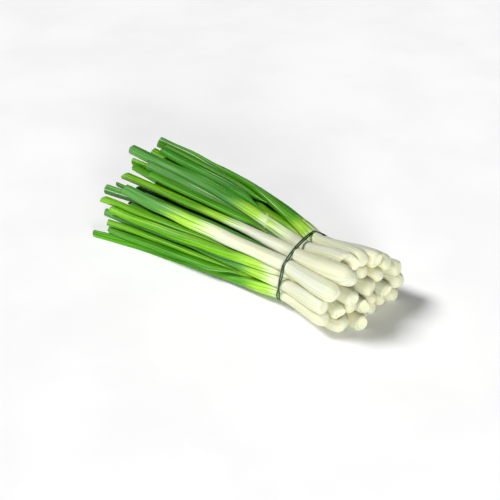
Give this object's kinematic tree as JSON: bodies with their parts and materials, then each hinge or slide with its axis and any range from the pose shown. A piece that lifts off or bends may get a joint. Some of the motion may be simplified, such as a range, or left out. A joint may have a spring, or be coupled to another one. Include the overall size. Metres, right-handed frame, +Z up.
{
  "type": "spring onion bunch",
  "caption": "Bunch of young spring onions lying on its side: trimmed white bulbs, pale shanks held by a thin doubled rubber band, and hollow green leaves cut to an even length.",
  "frame": {"origin": "centre of the underside of the bunch's bounding box, on the surface it lies on", "axes": "+X along the bunch towards the trimmed bulbs, +Z up, +Y away from the near side"},
  "size_m": [0.288, 0.13, 0.0593],
  "materials": {
    "onion": "smooth fresh skin, white at the bulb, through pale yellow-green, to green at the leaf's cut end; satin with a faint wax bloom",
    "outer_leaf": "fresh green leaf with fine lengthwise veins; satin, some with a blue-grey wax bloom",
    "rubber_band": "dark green matt rubber"
  },
  "bodies": {
    "root": {"onion_01": "onion", "onion_01_outer_leaf": "outer_leaf", "onion_02": "onion", "onion_02_outer_leaf": "outer_leaf", "onion_03": "onion", "onion_03_outer_leaf": "outer_leaf", "onion_04": "onion", "onion_04_outer_leaf": "outer_leaf", "onion_05": "onion", "onion_05_outer_leaf": "outer_leaf", "onion_06": "onion", "onion_06_outer_leaf": "outer_leaf", "onion_07": "onion", "onion_07_outer_leaf": "outer_leaf", "onion_08": "onion", "onion_09": "onion", "onion_09_outer_leaf": "outer_leaf", "onion_10": "onion", "onion_10_outer_leaf": "outer_leaf", "onion_11": "onion", "onion_12": "onion", "onion_12_outer_leaf": "outer_leaf", "onion_13": "onion", "onion_13_outer_leaf": "outer_leaf", "onion_14": "onion", "onion_14_outer_leaf": "outer_leaf", "onion_15": "onion", "onion_15_outer_leaf": "outer_leaf", "onion_16": "onion", "onion_16_outer_leaf": "outer_leaf", "onion_17": "onion", "onion_17_outer_leaf": "outer_leaf", "onion_18": "onion", "onion_18_outer_leaf": "outer_leaf", "onion_19": "onion", "onion_19_outer_leaf": "outer_leaf", "onion_20": "onion", "onion_20_outer_leaf": "outer_leaf", "onion_21": "onion", "onion_21_outer_leaf": "outer_leaf", "onion_22": "onion", "onion_22_outer_leaf": "outer_leaf", "onion_23": "onion", "onion_23_outer_leaf": "outer_leaf", "onion_24": "onion", "onion_24_outer_leaf": "outer_leaf", "onion_25": "onion", "onion_25_outer_leaf": "outer_leaf", "onion_26": "onion", "onion_26_outer_leaf": "outer_leaf", "onion_27": "onion", "onion_28": "onion", "onion_28_outer_leaf": "outer_leaf", "onion_29": "onion", "onion_29_outer_leaf": "outer_leaf", "onion_30": "onion", "onion_30_outer_leaf": "outer_leaf", "onion_31": "onion", "onion_31_outer_leaf": "outer_leaf", "rubber_band": "rubber_band"}
  },
  "joints": []
}
